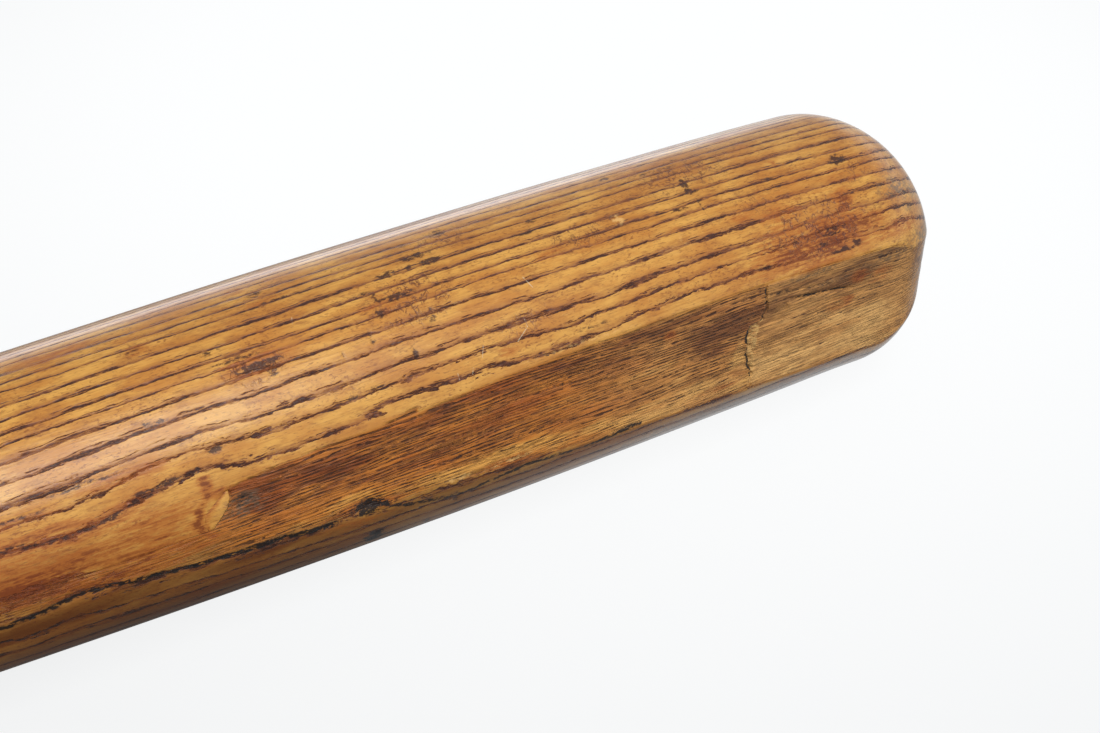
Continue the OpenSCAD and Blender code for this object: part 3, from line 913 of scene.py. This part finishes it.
# Its span depends on the place and its end on the angle, so they are found by turns
s = np.full_like(u, 40.0)
for _ in range(4):
    low, high = flake_span(s)
    angle = low + (high - low) * (v + 1) / 2
    s = flake_tip + (break_at(angle) - flake_back_off - flake_tip) * (u + 1) / 2
upper = flake_top(s, angle)
under = np.minimum(flake_under(s, angle) + 0.02, upper - 0.02)
move_to(flake, s, angle, np.where(level < -0.5, under, upper))
face_outwards(flake)
record_wear(flake, s, angle, np.ones_like(s))
# Painted shade in the split and the fine splits, a painted shadow along the split's trail, and dark spots on
# the torn lip
fine_split_shade = 0.5 * sum(along(s, angle, line, 0.3) for line in fine_splits)
dirt_and_shadow = 0.95 * split_depth(s, angle) ** 3 + 0.35 * along(s, angle, split_trail, 0.9) + fine_split_shade
dirt_and_shadow = dirt_and_shadow + 0.6 * smooth(lip_part(s, angle), 0, 0.3) * (grain(s / 0.8, angle / 1.9, 24) > 0.1)
record_on(flake, "dirt_and_shadow", dirt_and_shadow)
# The torn lip of the layer is painted paler, as a painted highlight on its sloping face
record_on(flake, "pale_and_highlight", 0.6 * smooth(lip_part(s, angle), 0.02, 0.2) * (angle < 12.9))
flake.data.materials.append(ash_finish("torn_ash", 0.46))
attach(flake, "root")
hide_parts("end_flake")

# ---------------------------------------------------------------------------
# Root chip: a crescent of clean wood that has lifted where the flat runs out,
# and is still held along its edge on the knob's side.
# ---------------------------------------------------------------------------
chip_lift = 0.28
chip_gap = 0.3
chip = slab("lifted_chip", 14, 60)
u, v, level = points_of(chip)
angle = chip_angles[0] + chip_gap + (chip_angles[-1] - chip_angles[0] - 2 * chip_gap) * (v + 1) / 2
middle = np.interp(angle, chip_angles, chip_middles) + 0.12 * grain(angle / 1.3, angle * 0, 31)
s = middle + u * np.interp(angle, chip_angles, chip_widths) / 2
raised = (0.02 + chip_lift * (0.5 - 0.5 * u)) * np.cos(v * 1.5)
upper = turned_radius(s) - sunken(s, angle) + raised + 0.03 * grain(s / 3, angle / 1.2, 32) * (1 - u)
move_to(chip, s, angle, np.where(level < -0.5, turned_radius(s) - chip_sink + 0.02, upper))
face_outwards(chip)
record_wear(chip, s, angle, np.zeros_like(s))
for mark in ("worn", "dirt_and_shadow", "underside_dark", "stain"):
    record_on(chip, mark, np.zeros_like(s))
record_on(chip, "rust", 0.75 * smooth(u, -0.4, 1))
chip.data.materials.append(ash_finish("pale_ash", 0.36))
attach(chip, "root")
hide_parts("root_chip")

# ---------------------------------------------------------------------------
# Spiral tape: a strip of black friction tape, cotton cloth soaked in tacky
# rubber, wound up the handle from the knob with each turn's edge on the last.
# ---------------------------------------------------------------------------
turn_steps = 60
tape_w = 19
tape_pitch = 13
tape_lap = 0.44
frayed_w = 0.4
thread_w = 0.6
spiral_start, spiral_end = 34.2, 236
# The strip's cross-section, as (place across it, height over the wood): up its
# outer side from the edge that shows, and back along its inner side
spiral_section = ((0, 0.84), (0.3, 0.93), (2.5, 0.92), (4.8, 0.9), (6.6, 0.6), (8, 0.5),
                  (13, 0.48), (tape_w, 0.46), (tape_w, 0.05), (6.4, 0.05), (5.2, 0.46), (0, 0.5))


def wound(name, section, start, pitch, turns, tail_lift, seed):
    """A strip of tape wound round the handle, from a place along it, turn by turn."""
    strip = bmesh.new()
    # The strip is first spun wide of the axis and with its steps far apart, which numbers them
    base, apart = 10, 100
    ring = [strip.verts.new((place * MM, -(base + height) * MM, 0)) for place, height in section]
    strip.faces.new(ring)
    steps = round(turns * turn_steps)
    bmesh.ops.spin(strip, geom=strip.verts[:] + strip.edges[:] + strip.faces[:], axis=(1, 0, 0),
                   cent=(0, 0, 0), dvec=(apart * MM, 0, 0), angle=turns * 2 * pi, steps=steps)
    bmesh.ops.recalc_face_normals(strip, faces=strip.faces)
    piece = piece_from(strip, name)
    x, y, z = points_of(piece) / MM
    step = np.round(x / apart - 0.1)
    across, height = x - step * apart, np.hypot(y, z) - base
    turn = step / turn_steps
    length = turn * 2 * pi * handle_r
    edge = (across < frayed_w) | (across > tape_w - frayed_w)
    across = across + 0.22 * grain(length / 3.1, length * 0, seed) * edge
    place = start + pitch * turn + across + 0.35 * grain(length / 60, length * 0, seed + 1)
    wrinkle = 0.05 * grain(length / 9, across / 5, seed + 2)
    wrinkle = wrinkle + 0.03 * grain(length / 2.4, across / 2, seed)
    on_itself = tape_lap * smooth(turn - 1, 0.0, 0.03) if pitch == 0 else 0
    tail = tail_lift * smooth(turns - turn, 0.05, 0.0) ** 2
    radius = turned_radius(bat_l - place) + height + wrinkle + on_itself + tail
    angle = np.degrees(turn * 2 * pi) + 40 * seed
    move_to(piece, bat_l - place, angle, radius)
    piece.data.polygons.foreach_set("use_smooth", [True] * len(piece.data.polygons))
    piece.data.set_sharp_from_angle(angle=radians(50))
    record_on(piece, "along", length)
    record_on(piece, "across", across)
    record_on(piece, "rim", np.where(height > 0.3, np.exp(-np.abs(across) / 0.9), 0))
    return piece


def tape_finish(name):
    """Friction tape: a plain weave, black with rubber, and rubbed grey on its ridges."""
    finish = Finish(name)
    strip = finish.put("ShaderNodeCombineXYZ", {0: finish.seen("along"), 1: finish.seen("across")})
    warp = finish.math("SINE", finish.times(finish.seen("across"), 2 * pi / thread_w))
    weft = finish.math("SINE", finish.times(finish.seen("along"), 2 * pi / thread_w))
    weave = finish.times(warp, weft)
    patches = finish.noise(strip, (24, 9), 4.0, 0.6)
    smears = finish.noise(strip, (3, 1.2), 4.0, 0.7)
    lint = finish.noise(strip, (0.5, 0.35), 2.0)
    worn = finish.added(finish.step(patches, 0.42, 0.7, 0.0, 0.6), (smears, 0.35),
                        (finish.seen("rim"), 0.45))
    face = finish.mix(finish.step(smears, 0.35, 0.7), colour(30, 29, 30), colour(44, 42, 41))
    face = finish.mix(finish.step(worn, 0.25, 1.0), face, colour(86, 78, 68))
    fluff = finish.step(finish.plus(weave, lint), 0.9, 1.6, 0.0, 0.35)
    face = finish.mix(fluff, face, colour(112, 104, 92))
    finish.give(finish.shader.inputs["Base Color"], face)
    gloss = finish.added(0.55, (smears, 0.3))
    finish.give(finish.shader.inputs["Roughness"], gloss)
    height = finish.added(finish.times(weave, 0.5), (smears, 0.8))
    finish.give(finish.shader.inputs["Normal"], finish.bump(height, 0.12 * MM))
    return finish.material


black_tape = tape_finish("friction_tape")
spiral = wound("wound_tape", spiral_section, spiral_start, tape_pitch,
               (spiral_end - spiral_start) / tape_pitch, 0, 1)
spiral.data.materials.append(black_tape)
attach(spiral, "root")
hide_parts("spiral_tape")

# ---------------------------------------------------------------------------
# Knob band and top band: a short length of the same tape over each end of the
# spiral, once round and a little more, so that each band's end shows.
# ---------------------------------------------------------------------------
band_turns = 1.14
knob_band_start, top_band_start = 28, 237
knob_section = ((0, 0.4), (0.4, 0.46), (3, 0.46), (5.2, 0.6), (6.8, 1.36), (9, 1.39), (13, 1.38),
                (tape_w, 1.34), (tape_w, 0.97), (6.9, 0.97), (5.2, 0.14), (0, 0.04))
top_section = ((0, 1.34), (0.4, 1.38), (3, 1.38), (5.2, 1.34), (7, 1.0), (9, 0.95), (16, 0.94),
               (tape_w, 0.46), (tape_w, 0.06), (17.6, 0.52), (6.9, 0.55), (0, 0.97))
for name, node, section, start, seed in (
        ("band_by_knob", "knob_band", knob_section, knob_band_start, 4),
        ("band_by_barrel", "top_band", top_section, top_band_start, 7)):
    band = wound(name, section, start, 0, band_turns, 0.5, seed)
    band.data.materials.append(black_tape)
    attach(band, "root")
    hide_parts(node)

# ---------------------------------------------------------------------------
# The studio: a softbox high on the camera's side, an even pale room, and a
# white floor that glows like a light table, with painted shade that dims it away from a spot behind the tip.
# ---------------------------------------------------------------------------
floor_mesh = bmesh.new()
bmesh.ops.create_grid(floor_mesh, x_segments=1, y_segments=1, size=6)
bmesh.ops.translate(floor_mesh, verts=floor_mesh.verts, vec=(tip_x / 2, 0, cad_box[0].z - 0.2 * MM))
floor = piece_from(floor_mesh, "floor")
floor_finish = Finish("pale_floor")
floor_finish.shader.inputs["Base Color"].default_value = (0.06, 0.06, 0.06, 1)
floor_finish.shader.inputs["Roughness"].default_value = 0.9
floor_finish.shader.inputs["Emission Color"].default_value = (0.97, 0.98, 0.985, 1)
spot = floor_finish.put("ShaderNodeTexCoord", {}, "Object")
away = floor_finish.vector("DISTANCE", spot, (tip_x, 0.15, cad_box[0].z), 1)
# Painted shade: the floor's glow falls off away from a spot behind the tip
floor_falloff = floor_finish.step(away, 0.1, 0.52, 0.95, 0.74)
floor_finish.give(floor_finish.shader.inputs["Emission Strength"], floor_falloff)
floor.data.materials.append(floor_finish.material)
floor.visible_diffuse = False
floor.visible_glossy = False

softbox = bpy.data.objects.new("softbox", bpy.data.lights.new("softbox", "AREA"))
bpy.context.scene.collection.objects.link(softbox)
softbox.data.size = 0.48
softbox.data.energy = 5.5
softbox.location = (tip_x - 0.235, -0.48, 0.75)
softbox.rotation_euler = (radians(32), 0, 0)

# The room: pale in front and all round, a bright wall behind, and a table that is dim
# in front, where the camera's side keeps the light off it
room = bpy.data.worlds.new("studio")
room.use_nodes = True
sky = Nodes(room.node_tree)
across, back, height = sky.split(sky.put("ShaderNodeTexCoord", {}, "Generated"))
upper = sky.step(height, -0.03, 0.1, 0.0, 0.85)
ceiling = sky.step(height, 0.15, 0.5, 1.0, 0.5)
front = sky.step(back, -0.9, -0.2, 1.2, 1.0)
dim_back = sky.step(back, 0.55, 0.92, 1.0, 0.6)
bright_end = sky.step(across, 0.6, 0.9, 1.0, 1.45)
light = sky.times(upper, ceiling, front, dim_back, bright_end)
wall = sky.times(sky.step(back, 0.75, 0.95, 0.0, 3.0), sky.step(height, 0.13, 0.0),
                 sky.step(height, -0.2, -0.05))
table = sky.times(sky.step(across, 0.2, 0.5, 0.0, 0.65), sky.step(back, -0.3, 0.2, 0.3, 1.0),
                  sky.step(across, 0.65, 0.85, 1.0, 0.3))
table = sky.plus(table, sky.step(height, -0.6, -0.3, 0.1, 0.3))
table = sky.times(table, sky.step(height, 0.05, -0.05))
light = sky.plus(sky.plus(light, wall), table)
# Seen straight on, the room is an even, pale wall
pale_wall = 0.82
straight_on = sky.put("ShaderNodeLightPath", {}, "Is Camera Ray")
light = sky.top_of(light, sky.times(straight_on, pale_wall))
background = sky.tree.nodes["Background"]
sky.give(background.inputs[1], light)
background.inputs[0].default_value = (0.95, 0.97, 1.0, 1)
bpy.context.scene.world = room
bpy.context.scene.view_settings.view_transform = "Standard"
